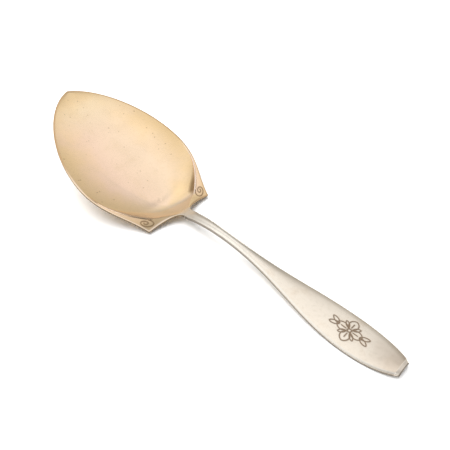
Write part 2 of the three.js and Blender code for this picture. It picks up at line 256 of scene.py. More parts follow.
# Engraved rosette on the grip
ORNAMENT_X = 94
ORNAMENT_REACH = 11
ORNAMENT_LINE = 0.32
ORNAMENT_DEPTH = 0.12
PETAL_LENGTH = 5.6
PETAL_WIDTH = 4.4
PETAL_POINT = 1.3
PETAL_SAMPLES = 120
RIB = (1.8, 4.2)
RIB_SAMPLES = 40
LEAF_LENGTH = 4.6
LEAF_WIDTH = 1.9
LEAF_FROM = 5.4
LEAF_SPREAD = 24
SMALL_LEAF = 0.8
SMALL_LEAF_FROM = 1.6
EYE_RADIUS = 0.85
EYE_SAMPLES = 90

# Painted shade on the handle's sides and right part, and painted highlights on its left bevel and
# end
FLANK_FADE = 0.2
FLANK_FROM_LEFT = 0.55
FLANK_FROM_RIGHT = 0.15
FLANK_ABOVE_BOTTOM = 0.1 * LOWER_EDGE
FLANK_BELOW_END = 2 * BEVEL_HEIGHT
FLANK_AT_END = (-2 * END_ROUNDING, -END_ROUNDING)
GRIP_SHADE_REACH = 4
STEM_SHADE_FROM = (-0.55, -0.2)
STEM_SHADE_LENGTH = 10
STEM_SHADE_WIDTH = 0.8
LIT_ACROSS = (-BEVEL_WIDTH - 0.25, -BEVEL_WIDTH + 0.05)
LIT_DOWN = (BEVEL_HEIGHT - 0.1, BEVEL_HEIGHT + 0.05)
LIT_END = (-END_BEVEL - 0.3, -END_BEVEL + 0.1)
LIT_END_SHARE = 0.5

# Colours of the metals, linear
GOLD_PALE = (0.98, 0.757, 0.545, 1)
GOLD_ROSE = (0.985, 0.708, 0.54, 1)
GOLD_YELLOW = (0.99, 0.81, 0.55, 1)
GOLD_DEEP = (0.965, 0.7, 0.385, 1)
GOLD_LAND = (0.97, 0.72, 0.54, 1)
GOLD_STAIN = (0.9, 0.68, 0.44, 1)
GOLD_EAR = (0.6, 0.43, 0.26, 1)
# Painted highlight on the right ridge's crest and along the left edge
GOLD_HIGHLIGHT = (0.98, 0.84, 0.74, 1)
# Painted shade on the steep walls
GOLD_WALL_SHADE = (0.66, 0.59, 0.47, 1)
GOLD_EDGE = (0.5, 0.3, 0.16, 1)
# Painted shade on the heel
HEEL_SHADE = (0.37, 0.37, 0.31, 1)
SILVER_STEM = (0.93, 0.87, 0.78, 1)
SILVER_GRIP = (0.97, 0.875, 0.75, 1)
SILVER_END = (0.76, 0.64, 0.52, 1)
# Painted highlight on the handle's left bevel and end
SILVER_HIGHLIGHT = (1.0, 0.94, 0.845, 1)
SILVER_STAIN = (0.9, 0.77, 0.62, 1)
SOLDER = (0.72, 0.68, 0.6, 1)
# Dirt in pits, specks and grooves, and also painted shade at the blade's mouth
DIRT_AND_SHADE = (0.2, 0.105, 0.04, 1)
# Tarnish, and also painted shade on the handle's right part and on the blade's left land by the
# neck
TARNISH_AND_SHADE = (0.36, 0.28, 0.18, 1)
# Painted shade on the sides of the blade's sheet
SHEET_SIDE_SHADE = (0.07, 0.05, 0.035, 1)
# Painted shade on the handle's sides
SIDE_SHADE = (0.13, 0.105, 0.08, 1)

# Noises of the metals: scale per metre and detail
MOTTLE = (520, 4)
UNEVEN = (55, 2)
NECK_CLOUD = (300, 3)
GILT_CLOUD = (70, 4)
GILT_STAINS = (110, 6)
SILVER_CLOUD = (80, 4)
SILVER_STAINS = (130, 5)
SOLDER_CLOUD = (400, 4)
SOLDER_DIRT = (900, 2)

# Round marks: scale per metre, greatest radius in metres and share of the cells that have one
PITS = (150, 0.0006, 0.35)
SPECKS = (400, 0.00055, 0.4)

# Finish of all the metals
SCRATCH_ANGLES = (28, -52)
SCRATCH_STRETCH = (60, 4200, 60)
SCRATCH_NOISE = (1.0, 2.0)
SCRATCH_LIMITS = (0.62, 0.74)
SCRATCH_ROUGHNESS = 0.06
SCRATCH_DEPTH = 0.35
MOTTLE_LIMITS = (0.45, 0.75)
PIT_DIRT = 0.35
CUT_DIRT_AND_SHADE = 0.88
CUT_ROUGHNESS = 0.3
DULL_ROUGHNESS = 0.7
UNEVEN_LIMITS = (0.3, 0.7)
UNEVEN_ROUGHNESS = 0.08
UNEVEN_HEIGHT = 8.0
BUMP_METRES = 0.000004
NECK_DULL = 0.34

# Gilding: each mark of wear, painted shade or painted highlight is the mesh's attribute, its share
# and its colour
GILT_ROUGHNESS = 0.15
GILT_MOTTLE = 0.05
GILT_CLOUD_LIMITS = (0.3, 0.7)
GILT_CLOUD_REACH = 0.25
GILT_STAIN_LIMITS = (0.5, 0.75)
GILT_STAIN_SHARE = 0.3
ROSE_TO_PALE = (-0.7, 0.35)
DEEP_TO_PALE = (-0.3, 1.9)
YELLOW_FADES = (8, 34)
YELLOW_SHARE = 0.8
GILT_FADES = (0.25, 0.9)
GILT_FADE_CLOUD = 0.3
SPECK_LIMITS = (0.2, 1.2)
SPECK_SHARES = (0.3, 0.2)
# Of these, the land by the neck, the heel and the steep walls get painted shade, and the ridge's
# crest and the left edge painted highlights
GILT_WEAR_AND_PAINTED_LIGHT = (
    ("land", 0.8, GOLD_LAND),
    ("ear", 0.8, GOLD_EAR),
    ("neck_land", 0.62, TARNISH_AND_SHADE),
    ("tip", 0.3, TARNISH_AND_SHADE),
    ("crest", 0.75, GOLD_HIGHLIGHT),
    ("heel", 0.33, HEEL_SHADE),
    ("steep", 0.38, GOLD_WALL_SHADE),
    ("edge", 0.8, GOLD_EDGE),
    ("edge_highlight", 0.7, GOLD_HIGHLIGHT),
)
# Tarnish on the underside, and painted shade on the sides of the sheet
GILT_TARNISH_AND_SHADE = (("underside", 0.55, TARNISH_AND_SHADE), ("flank", 0.9, SHEET_SIDE_SHADE))

# Silver and solder; the silver's changes of colour are in millimetres along x or from the neck
SILVER_ROUGHNESS = 0.16
SILVER_MOTTLE = 0.08
SILVER_CLOUD_REACH = 20
SILVER_STAIN_LIMITS = (0.5, 0.72)
SILVER_STAIN_SHARE = 0.5
STEM_TO_GRIP = (30, 75)
GRIP_TO_END = (114, 133)
TONGUE_GOLD_FADES = (-6, -1.5)
TONGUE_GOLD_CLOUD = 1.5
NECK_DULL_REACH = 26
# Painted shade on the right part and the sides, and painted highlight on the left bevel and the end
SILVER_PAINTED_LIGHT = (("shade", 0.5, TARNISH_AND_SHADE), ("lit", 0.85, SILVER_HIGHLIGHT), ("flank", 0.9, SIDE_SHADE))
SOLDER_ROUGHNESS = 0.4
SOLDER_MOTTLE = 0.3
SOLDER_DIRT_LIMITS = (0.6, 0.9)

# Surroundings: a base, what it gains towards the zenith, and brighter and darker patches
SURROUND = 0.225
SURROUND_RISE = 0.45
# Each patch: centre (azimuth from +Y to +X, elevation), inner and outer half angle, what it adds
PATCHES = (
    ((57, 41.6), 39.6, 53.6, 0.75),
    ((-100.3, 27.2), 39.3, 67.9, 0.48),
    ((54.1, 43.3), 32.4, 50, -0.75),
    ((-62.6, 48.6), 21.2, 38.6, -0.74),
    ((-20.8, 35.8), 44.8, 58.8, 0.18),
    ((-56.8, 50.6), 20.4, 35.5, 0.57),
)
DARKEST = 0.05
HORIZON_REACH = 0.25
HORIZON_SHARE = 0.3

# Light above, in metres and watts, and the floor
KEY_DIRECTION = (256, 75)
KEY_DISTANCE = 1.5
KEY_SIZE = 2.0
KEY_POWER = 34.0
FLOOR_HALF = 3.0
FLOOR_COLOR = (0.95, 0.95, 0.95, 1)
FLOOR_ROUGHNESS = 0.9

# Camera at the photograph's viewing angle; its nearest distance is in metres
CAMERA_PLACE = (141.4, -130.0, 183.0)
CAMERA_TURN = math.radians(46.111)
CAMERA_DROP = math.radians(42.787)
CAMERA_ROLL = math.radians(0.682)
CAMERA_LENS = 38.69
CAMERA_SENSOR = 36
CAMERA_NEAREST = 0.01


def polar(length, degrees):
    angle = math.radians(degrees)
    return np.array([length * math.cos(angle), length * math.sin(angle)])


def along(length):
    return np.array([length, 0.0])


def steps(start, end, count):
    """Even places after the start, up to the end."""
    return np.linspace(start, end, count + 1)[1:]


def smooth(low, high, value):
    """Share from 0 at the low limit to 1 at the high one, level at both."""
    share = np.clip((np.asarray(value, float) - low) / (high - low), 0, 1)
    return share * share * (3 - 2 * share)


def mix(a, b, share):
    return a + (b - a) * share


def bump(distance, width):
    """Profile across a line: 1 on it and near 0 at twice its width."""
    return np.exp(-((distance / width) ** 2))


def corner_curve(start, corner_point, end, q):
    return (1 - q) ** 2 * start + 2 * q * (1 - q) * corner_point + q * q * end


def bezier(start, start_pull, end_pull, end):
    """The curve's places as a function of the share of the way, given the pulls at its ends."""
    first, second = start + start_pull, end - end_pull

    def at(t):
        t = np.asarray(t, float)[..., None]
        s = 1 - t
        return s**3 * start + 3 * s * s * t * first + 3 * s * t * t * second + t**3 * end

    return at


def ring_faces(rings, columns):
    """Quads between neighbouring rings of points, each ring closed on itself."""
    ring = np.arange(rings - 1)[:, None] * columns
    column = np.arange(columns)[None, :]
    a = ring + column
    b = ring + (column + 1) % columns
    return np.stack([a, b, b + columns, a + columns], -1).reshape(-1, 4).tolist()


def linked(name, data):
    thing = bpy.data.objects.new(name, data)
    bpy.context.scene.collection.objects.link(thing)
    return thing


def mesh_piece(name, points, faces, material, attributes):
    """A piece on the one body, with a value at each point for every attribute."""
    mesh = bpy.data.meshes.new(name)
    mesh.from_pydata((np.asarray(points) * MM).tolist(), [], faces)
    mesh.validate()
    for key, values in attributes.items():
        attribute_data = mesh.attributes.new(key, "FLOAT", "POINT").data
        attribute_data.foreach_set("value", np.asarray(values, np.float32))
    mesh.shade_smooth()
    mesh.set_sharp_from_angle(angle=SHARP_ANGLE)
    mesh.materials.append(material)
    piece = linked(name, mesh)
    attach(piece, "root")
    return piece


# Outline of half of the blade and the mouth of its bowl
tab_back = BLADE_LENGTH + TAB_LENGTH
deepest = BLADE_LENGTH - DEEPEST_FROM_BACK
tip = np.array([0.0, 0.0])
widest = np.array([WIDEST_FROM_TIP, BLADE_WIDTH / 2])
back_corner = np.array([BLADE_LENGTH, CORNER_SPAN / 2])
tab_corner = np.array([tab_back, TAB_WIDTH / 2])
mouth_widest = widest - (0, RIM_LAND)
mouth_corner = back_corner - (EAR_DEPTH, EAR_INSET)
mouth_tab = tab_corner - (RIM_LAND, RIM_LAND)
mouth_direction = polar(1, -MOUTH_ANGLE)
mouth_tip = RIM_LAND / math.sin(math.radians(TIP_ANGLE))
front_edge = bezier(tip, polar(TIP_PULL, TIP_ANGLE), along(FRONT_PULL), widest)
side_edge = bezier(widest, along(BACK_PULL), polar(CORNER_PULL, -CORNER_FLARE), back_corner)
back_pull = np.array([-BACK_EDGE_HOLLOW, -BACK_EDGE_PULL])
back_edge = bezier(back_corner, back_pull, along(TAB_PULL), tab_corner)
mouth_side = bezier(
    mouth_widest, along(MOUTH_WIDEST_PULL), MOUTH_FRONT_PULL * mouth_direction, mouth_corner
)
mouth_tab_pull = polar(MOUTH_TAB_PULL, -MOUTH_TAB_ANGLE)
mouth_back = bezier(mouth_corner, MOUTH_BACK_PULL * mouth_direction, mouth_tab_pull, mouth_tab)


def half_outline():
    """Edge, outward direction, mouth, ridge, painted shade at the mouth and rounding from the tip
    round to the tab.
    """
    front = steps(0, 1, FRONT_COLUMNS)
    side = np.concatenate([
        steps(0, SIDE_SPLIT, SIDE_COLUMNS[0]), steps(SIDE_SPLIT, 1, SIDE_COLUMNS[1])
    ])
    back = np.concatenate([
        steps(0, BACK_SPLIT, BACK_COLUMNS[0]), steps(BACK_SPLIT, 1, BACK_COLUMNS[1])
    ])
    across = steps(1, 0, TAB_COLUMNS)
    front_end, side_end, back_end = 1 + np.cumsum([len(front), len(side), len(back)])

    def across_tab(place):
        return np.stack([np.full(TAB_COLUMNS, place[0]), place[1] * across], -1)

    def beside(on_side, on_back):
        """Values along the side and the back, and none along the front and the tab."""
        return np.concatenate([np.zeros(front_end), on_side, on_back, np.zeros(TAB_COLUMNS)])

    edge = np.concatenate([
        tip[None], front_edge(front), side_edge(side), back_edge(back), across_tab(tab_corner)
    ])
    distance = np.linalg.norm(np.diff(edge, axis=0), axis=1)
    distance = np.concatenate([[0], np.cumsum(distance)])
    distance -= distance[side_end - 1]
    near = np.abs(distance) < CORNER_ROUNDING
    before, after = (
        np.array([np.interp(place, distance, edge[:, k]) for k in (0, 1)])
        for place in (-CORNER_ROUNDING, CORNER_ROUNDING)
    )
    q = ((distance[near] + CORNER_ROUNDING) / (2 * CORNER_ROUNDING))[:, None]
    edge[near] = corner_curve(before, back_corner, after, q)
    tangent = np.gradient(edge, axis=0)
    tangent[0] = (0, 1)
    tangent[back_end:] = (0, -1)
    tangent /= np.linalg.norm(tangent, axis=1)[:, None]
    outward = np.stack([-tangent[:, 1], tangent[:, 0]], -1)
    mouth = np.concatenate([
        edge[:front_end] - RIM_LAND * outward[:front_end],
        mouth_side(side),
        mouth_back(back),
        across_tab(mouth_tab),
    ])
    mouth[0] = (mouth_tip, 0)
    ridge = beside(smooth(*RIDGE_GROWS, side), 1 - smooth(*RIDGE_FADES, back))
    # Share of the painted shade at the mouth, along the side and the back
    mouth_shade = beside(smooth(*MOUTH_SHADE_GROWS, side), 1 - smooth(*MOUTH_SHADE_FADES, back))
    rounding = np.full(len(edge), RIM_ROUNDING)
    rounding[side_end:back_end] *= 1 - smooth(*ROUNDING_FADES, back)
    rounding[back_end:] = 0
    return edge, outward, mouth, ridge, mouth_shade, rounding


def mirrored(values, flip=False):
    """A half outline's values, carried on round the other half."""
    other = values[1:-1][::-1].copy()
    if flip:
        other[:, 1] *= -1
    return np.concatenate([values, other])


def blade_outline():
    """The whole outline with its bowl's reach, its land, and the shares of the land at its rows."""
    half = half_outline()
    edge, outward, mouth = (mirrored(part, True) for part in half[:3])
    ridge, mouth_shade, rounding = (mirrored(part) for part in half[3:])
    inner = edge - outward * rounding[:, None]
    land = np.linalg.norm(inner - mouth, axis=1)
    ridge_share = np.minimum(RIDGE_MOST_OF_LAND, RIDGE_WIDTH / land)
    shares = [ridge_share * (i / RIDGE_ROWS) for i in range(1, RIDGE_ROWS + 1)]
    shares += [mix(ridge_share, 1, i / EAR_ROWS) for i in range(1, EAR_ROWS + 1)]
    return SimpleNamespace(
        inner=inner, outward=outward, mouth=mouth, ridge=ridge, mouth_shade=mouth_shade, rounding=rounding,
        reach=np.linalg.norm(mouth - (deepest, 0), axis=1), land=land, shares=np.array(shares),
    )


def rim_height(plan):
    """Height of the rim above its plane, which bends up towards the neck."""
    bend = np.clip((plan[..., 0] - tab_back + BEND_LENGTH) / BEND_LENGTH, 0, None)
    across = np.cos(np.clip(np.abs(plan[..., 1]) / BEND_HALF_WIDTH, 0, 1) * math.pi / 2)
    return NECK_RISE * bend**2 * across**2


def climb_share(way, steepness):
    """Climb from a level start to 1, with the given steepness at the end."""
    return (3 - steepness) * way**2 + (steepness - 2) * way**3


def plain_axis_height(u):
    """Height of the bowl's floor along the axis, with its curve changing at the deepest place."""
    front = (deepest - u) / (deepest - mouth_tip)
    back = (u - deepest) / (mouth_tab[0] - deepest)
    climb = BOWL_DEPTH + float(rim_height(np.array([mouth_tab[0], 0])))
    rise = np.where(
        u < deepest,
        BOWL_DEPTH * climb_share(np.clip(front, 0, 1), FLOOR_STEEPNESS),
        climb * climb_share(np.clip(back, 0, 1), NECK_STEEPNESS),
    )
    return rise - BOWL_DEPTH


def axis_height(u):
    """The same floor with its curve eased over a short way, but not near the neck."""
    offsets = np.linspace(-1, 1, EASING_SAMPLES + 2)[1:-1]
    weights = 1 - offsets**2
    parts = [plain_axis_height(u + FLOOR_EASING * offset) for offset in offsets]
    eased = sum(weight * part for weight, part in zip(weights, parts)) / weights.sum()
    at_neck = smooth(deepest + FLOOR_EASING, mouth_tab[0] - FLOOR_EASING, u)
    return mix(eased, plain_axis_height(u), at_neck)


def bowl_height(plan, mouth):
    """Height of the bowl at places in plan, from the floor on the axis and the mouth beside it."""
    half = mouth[: len(mouth) // 2 + 1]
    width = np.maximum(np.interp(plan[:, 0], half[:, 0], half[:, 1]), TINY)
    rim = np.interp(plan[:, 0], half[:, 0], rim_height(half))
    share = np.clip(np.abs(plan[:, 1]) / width, 0, 1)
    floor = axis_height(plan[:, 0])
    return floor + (rim - floor) * share**WALL_POWER


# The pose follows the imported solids: the blade's tip is highest, and the handle's end is last
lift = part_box("blade")[1].z / MM
turn = np.array([
    [math.cos(BLADE_RISE), 0, math.sin(BLADE_RISE)],
    [0, 1, 0],
    [-math.sin(BLADE_RISE), 0, math.cos(BLADE_RISE)],
])
neck_height = float(rim_height(np.array([tab_back, 0])))
neck_turned = turn @ np.array([tab_back, 0, neck_height])
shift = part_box("handle")[1].x / MM - HANDLE_LENGTH - neck_turned[0]


def posed(points):
    return np.asarray(points) @ turn.T + (shift, 0, lift)


def scroll_line():
    """The spiral of one scroll, as places in the blade's plan."""
    inward = np.array([mouth_direction[1], -mouth_direction[0]])
    from_mouth = SCROLL_GAP + SCROLL_WIDTH / 2
    centre = mouth_corner - inward * from_mouth + mouth_direction * SCROLL_SHIFT
    share = np.linspace(0, 1, SCROLL_SAMPLES)[:, None]
    angle = share * SCROLL_TURNS * 2 * math.pi
    size = mix(1, SCROLL_EYE, share)
    lengthwise = np.sin(angle) * size * SCROLL_LENGTH / 2 - SCROLL_DRIFT * share
    return centre + lengthwise * mouth_direction + np.cos(angle) * size * SCROLL_WIDTH / 2 * inward


def line_distance(places, line):
    """Least distance of each place to a dense line of points."""
    result = np.full(len(places), FAR)
    low, high = line.min(0) - LINE_MARGIN, line.max(0) + LINE_MARGIN
    near = np.flatnonzero(np.all((places > low) & (places < high), axis=1))
    for part in np.array_split(near, max(1, len(near) // LINE_BATCH)):
        gap = places[part][:, None, :] - line[None, :, :]
        result[part] = np.sqrt((gap**2).sum(-1)).min(1)
    return result


def grid_normals(grid):
    by_column = np.roll(grid, -1, 1) - np.roll(grid, 1, 1)
    by_row = np.gradient(grid, axis=0)
    normal = np.cross(by_column, by_row)
    return normal / np.maximum(np.linalg.norm(normal, axis=-1), TINY)[..., None]


def bowl_ways():
    """Shares of the way from the deepest place to the mouth, with rows crowded at the mouth."""
    return [1 - (1 - row / BOWL_ROWS) ** BOWL_CROWDING for row in range(1, BOWL_ROWS + 1)]


def ridge_height(ridge, distance):
    """Height of the ridge at distances outwards from the mouth."""
    crest_from, crest_to = (share * RIDGE_WIDTH for share in RIDGE_CREST)
    return ridge * RIDGE_HEIGHT * np.where(
        distance < crest_from,
        smooth(-RIDGE_FOOT, crest_from, distance),
        1 - smooth(crest_to, RIDGE_WIDTH, distance),
    )


def blade_surface(outline):
    """Rows of the blade's upper surface without its ridge, and the ridge's height on them."""
    rows, ridges = [], []
    for way in bowl_ways():
        plan = np.array([deepest, 0]) + (outline.mouth - (deepest, 0)) * way
        rows.append(np.column_stack([plan, bowl_height(plan, outline.mouth)]))
        ridges.append(ridge_height(outline.ridge, (way - 1) * outline.reach))
    for share in outline.shares:
        plan = outline.mouth + (outline.inner - outline.mouth) * share[:, None]
        rows.append(np.column_stack([plan, rim_height(plan)]))
        ridges.append(ridge_height(outline.ridge, share * outline.land))
    return np.array(rows), np.array(ridges)


def scroll_groove(surface):
    places = np.stack([surface[..., 0], np.abs(surface[..., 1])], -1).reshape(-1, 2)
    return bump(line_distance(places, scroll_line()).reshape(surface.shape[:2]), SCROLL_LINE)


def blade_rim(last, normal, outline):
    """Rows round the rounded edge of the sheet, from its upper to its lower face."""
    side = np.column_stack([outline.outward, np.zeros(len(last))])
    side -= (side * normal).sum(1)[:, None] * normal
    side /= np.linalg.norm(side, axis=1)[:, None]
    upper, lower = [], []
    for row in range(1, RIM_ROWS + 1):
        angle = row / RIM_ROWS * math.pi / 2
        out = side * (outline.rounding * math.sin(angle))[:, None]
        down = outline.rounding * (1 - math.cos(angle))
        upper.append(last + out - normal * down[:, None])
        lower.append(last + out - normal * (SHEET - down)[:, None])
    return np.array(upper + lower[::-1])


def heel_share(u, v):
    """Painted shade on the heel's back wall, behind a line that bends on the left, and more towards
    the neck.
    """
    to_left = HEEL_LEAN_LEFT * v - HEEL_BEND_LEFT * v**2
    heel_line = HEEL_LINE + np.where(v > 0, HEEL_LEAN_RIGHT * v, to_left)
    softness = HEEL_SOFTNESS * mix(HEEL_SOFTER_LEFT, 1, smooth(*HEEL_SOFTER_SIDES, v))
    grows_from = np.clip(GROWTH_FROM + GROWTH_LEAN * v, GROWTH_LEAST, GROWTH_FROM)
    growth = smooth(grows_from, grows_from + GROWTH_LENGTH, u)
    growth = growth * np.interp(v, GROWTH_SIDES, GROWTH_SHARES)
    share = np.interp(v, HEEL_SIDES, HEEL_SHARES) + growth
    return smooth(-softness, softness, u - heel_line) * share


def steep_share(u, v, normals):
    """Painted shade on the bowl's steep walls, by their tilt, behind and to the left."""
    tilt = np.degrees(np.arccos(np.clip(normals[..., 2], -1, 1)))
    steep = smooth(*STEEP_TILT, tilt) * smooth(STEEP_BEHIND, deepest, u)
    steep = steep * (1 - smooth(*STEEP_FADES, v))
    return steep * mix(1, STEEP_INNER, smooth(*STEEP_INNER_SIDES, v))


def painted_mouth_shade(u, v, from_mouth, ridges, outline):
    """Painted shade at the mouth: a pocket on the steep wall beside the right ridge, and a thin
    line beside the left ridge.
    """
    pocket_width = MOUTH_SHADE_WIDTH * mix(MOUTH_SHADE_LEAST_WIDTH, 1, outline.mouth_shade)
    pocket = MOUTH_SHADE_RIGHT * outline.mouth_shade * smooth(*MOUTH_SHADE_EDGE, from_mouth / pocket_width)
    pocket = np.where(from_mouth < MOUTH_SHADE_PAST_MOUTH, pocket * (1 - ridges / RIDGE_HEIGHT), 0)
    line = MOUTH_SHADE_LEFT * smooth(MOUTH_SHADE_GROWS[0], 1, np.maximum(outline.mouth_shade, v < 0))
    line = line * bump(from_mouth, MOUTH_SHADE_LINE)
    line = line * smooth(EDGE_HIGHLIGHT_GROWS[1], deepest, u) * (1 - smooth(*MOUTH_SHADE_LINE_FADES, u))
    return np.where(outline.mouth[:, 1] > 0, pocket, line)


def blade_marks(outline, top, normals, ridges, groove):
    """Shares of wear, dirt, painted shade and painted highlights on the rows of the upper surface,
    for the material.
    """
    u, v = top[..., 0], top[..., 1]
    right = outline.mouth[:, 1] > 0
    ways = np.array(bowl_ways())[:, None]
    from_mouth = np.concatenate([(ways - 1) * outline.reach, outline.shares * outline.land])
    to_edge = np.concatenate([
        (1 - ways) * outline.reach + outline.land, (1 - outline.shares) * outline.land
    ])
    in_bowl = from_mouth < 0
    all_ways = np.concatenate([ways, np.ones((len(outline.shares), 1))])
    inside = mix(MIDDLE_INSIDE, -from_mouth / WORN_REACH, smooth(*MIDDLE_FADES, all_ways))
    inside = inside + HEEL_PALER * smooth(*HEEL_PALE_ALONG, u) * smooth(*HEEL_PALE_SIDES, v)
    inside = inside + FRONT_PALER * smooth(*FRONT_GROWS, u) * (1 - smooth(*FRONT_FADES, u))
    scroll_dirt = np.where(right, SCROLL_DIRT_RIGHT, SCROLL_DIRT_LEFT) * groove
    edge = 1 - smooth(0, EDGE_WIDTH, to_edge)
    # Painted highlight along the left edge
    edge_highlight = np.where(v < 0, smooth(*EDGE_HIGHLIGHT_GROWS, u), 0)
    from_corner = np.hypot(u - back_corner[0], v - back_corner[1])
    right_ear = EAR_RIGHT * (1 - smooth(*EAR_RIGHT_FADES, from_corner))
    ear = np.where(v > 0, right_ear, smooth(*EAR_LEFT_GROWS, u))
    neck = smooth(-NECK_FADE_LENGTH, 0, u - tab_back)
    return {
        # The cut share holds dirt in the scroll's groove and painted shade at the mouth
        "cut": np.maximum(scroll_dirt, painted_mouth_shade(u, v, from_mouth, ridges, outline)),
        "inside": np.where(in_bowl, inside, 0),
        "across": v / (BLADE_WIDTH / 2),
        # Painted highlight on the ridge's crest, mostly on the right
        "crest": np.sqrt(ridges / RIDGE_HEIGHT) * np.where(right, 1, CREST_LEFT),
        "land": np.where(in_bowl, 0, outline.ridge * bump(from_mouth, LAND_REACH)),
        "edge": edge * (1 - edge_highlight),
        "ear": np.where(in_bowl, 0, ear),
        # Painted shade on the left land by the neck
        "neck_land": np.where(in_bowl | (v > 0), 0, smooth(*NECK_LAND_GROWS, u)),
        "tip": 1 - smooth(0, TIP_REACH, u),
        "neck": neck * (1 - smooth(*NECK_FADE_SIDES, np.abs(v) / NECK_FADE_WIDTH)),
        "edge_highlight": edge * edge_highlight,
        "heel": np.where(in_bowl, heel_share(u, v), 0),
        "steep": np.where(in_bowl, steep_share(u, v, normals), 0),
    }


def make_blade(material):
    """The blade as rows over its top, round its rim and back below, closed at two centre points."""
    outline = blade_outline()
    surface, ridges = blade_surface(outline)
    normals = grid_normals(surface)
    groove = scroll_groove(surface)
    top = surface + normals * (ridges - SCROLL_DEPTH * groove)[..., None]
    rim = blade_rim(surface[-1], normals[-1], outline)
    last = len(surface) - 1
    kept = {1, last, *range(LOWER_BOWL_STEP, BOWL_ROWS, LOWER_BOWL_STEP)}
    kept.update(range(BOWL_ROWS, last, LOWER_LAND_STEP))
    below = (surface - SHEET * normals)[sorted(kept, reverse=True)]
    rings = np.concatenate([top, rim, below])
    centres = [[deepest, 0, -BOWL_DEPTH], [deepest, 0, -BOWL_DEPTH - SHEET]]
    points = posed(np.concatenate([rings.reshape(-1, 3), centres]))
    points[:, 2] = np.maximum(points[:, 2], 0)

    columns = rings.shape[1]
    faces = ring_faces(len(rings), columns)
    upper_centre, lower_centre = len(points) - 2, len(points) - 1
    lowest = (len(rings) - 1) * columns
    for column in range(columns):
        following = (column + 1) % columns
        faces.append([upper_centre, following, column])
        faces.append([lower_centre, lowest + column, lowest + following])

    marks = blade_marks(outline, top, normals, ridges, groove)
    rest = np.zeros(len(points) - top.shape[0] * columns)
    values = {key: np.concatenate([mark.ravel(), rest]) for key, mark in marks.items()}
    values["inside"][-2:] = MIDDLE_INSIDE
    rim_from, lower_from = len(top) + RIM_ROWS // 2, len(top) + len(rim)
    # Painted shade on the sides of the sheet
    values["flank"] = np.zeros(len(points))
    values["flank"][rim_from * columns:lower_from * columns] = 1
    values["underside"] = np.zeros(len(points))
    values["underside"][lower_from * columns:] = 1
    values["underside"][upper_centre] = 0
    blade = mesh_piece("gilt_blade", points, faces, material, values)
    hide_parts("blade")


# Plan and heights of the handle along x
neck_x = neck_turned[0] + shift
neck_z = neck_turned[2] + lift
end_x = neck_x + HANDLE_LENGTH


def axis_point(u):
    """Place on the blade's upper surface above its axis, behind the deepest place."""
    return posed([u, 0, float(plain_axis_height(np.float64(u)))])


before_neck = axis_point(mouth_tab[0])
neck_slope = (neck_z - before_neck[2]) / (neck_x - before_neck[0])
tongue_tip = axis_point(tab_back - TONGUE_LENGTH)
arch_x = neck_x + ARCH_FROM_NECK
low_x = end_x - LOW_FROM_END
low_height = GRIP_THICKNESS - GRIP_FLAT_DEPTH
grip_x = end_x - GRIP_FROM_END
neck_plan = np.array([neck_x, TAB_WIDTH / 2 - NECK_INSET])
waist_plan = np.array([neck_x + WAIST_FROM_NECK, WAIST_WIDTH / 2])
grip_plan = np.array([grip_x, GRIP_WIDTH / 2])
end_taper = END_BEVEL * math.tan(math.radians(END_ANGLE))
bevel_plan = np.array([end_x - END_BEVEL, END_WIDTH / 2 + end_taper])
neck_side = bezier(neck_plan, along(NECK_PULL), along(NECK_PULL), waist_plan)
stem_side = bezier(waist_plan, along(WAIST_PULL), along(GRIP_FRONT_PULL), grip_plan)
grip_side = bezier(grip_plan, along(GRIP_BACK_PULL), polar(END_PULL, -END_ANGLE), bevel_plan)


def top_edge(x):
    """Height of the handle's upper side, below its crown."""
    if x < neck_x:
        return neck_z + neck_slope * (x - neck_x)
    if x < arch_x:
        t = (x - neck_x) / (arch_x - neck_x)
        climb = neck_slope * (arch_x - neck_x) * t * (1 - t) ** 2
        return climb + mix(neck_z, ARCH_HEIGHT, float(smooth(0, 1, t)))
    if x < low_x:
        return mix(ARCH_HEIGHT, low_height, float(smooth(arch_x, low_x, x)))
    return low_height + END_LIFT * ((x - low_x) / LOW_FROM_END) ** 2


def bottom_edge(x):
    thickness = mix(STEM_THICKNESS, GRIP_THICKNESS, float(smooth(arch_x, grip_x, x)))
    return max(0.0, top_edge(x) - thickness)


def rounded(corners, radius):
    """A polyline with every inner corner cut to a short curve."""
    points = [corners[0]]
    for before, here, after in zip(corners, corners[1:], corners[2:]):
        start, end = (
            here + way * min(EDGE_ROUNDING_MOST, radius / max(np.linalg.norm(way), TINY))
            for way in (before - here, after - here)
        )
        points += [corner_curve(start, here, end, q) for q in np.linspace(0, 1, EDGE_COLUMNS)]
    points.append(corners[-1])
    return np.array(points)


def section(x, half_width, top, bottom, crown, bevel, inset=0.0):
    """Closed section of the handle at x, from below at +Y over the top to the other side."""
    shoulder = half_width - BEVEL_WIDTH
    corners = np.array([
        [0.0, bottom],
        [half_width - LOWER_EDGE, bottom],
        [half_width, bottom + LOWER_EDGE],
        [half_width, mix(bottom + LOWER_EDGE, top - bevel, SIDE_SHARE)],
        [half_width, top - bevel],
        [shoulder, top],
        [shoulder * CROWN_SHARE, top + crown * (1 - CROWN_SHARE**2)],
    ])
    half = rounded(corners, EDGE_ROUNDING)[1:]
    way = steps(CROWN_SHARE, 0, CROWN_COLUMNS)
    half = np.concatenate([half, np.column_stack([shoulder * way, top + crown * (1 - way**2)])])
    if inset:
        middle = (top + bottom) / 2
        half[:, 0] *= 1 - inset / half_width
        half[:, 1] = middle + (half[:, 1] - middle) * (1 - 2 * inset / (top - bottom))
    other = half[:-1][::-1] * (-1, 1)
    ring = np.concatenate([half, other])
    return np.column_stack([np.full(len(ring), x), ring])


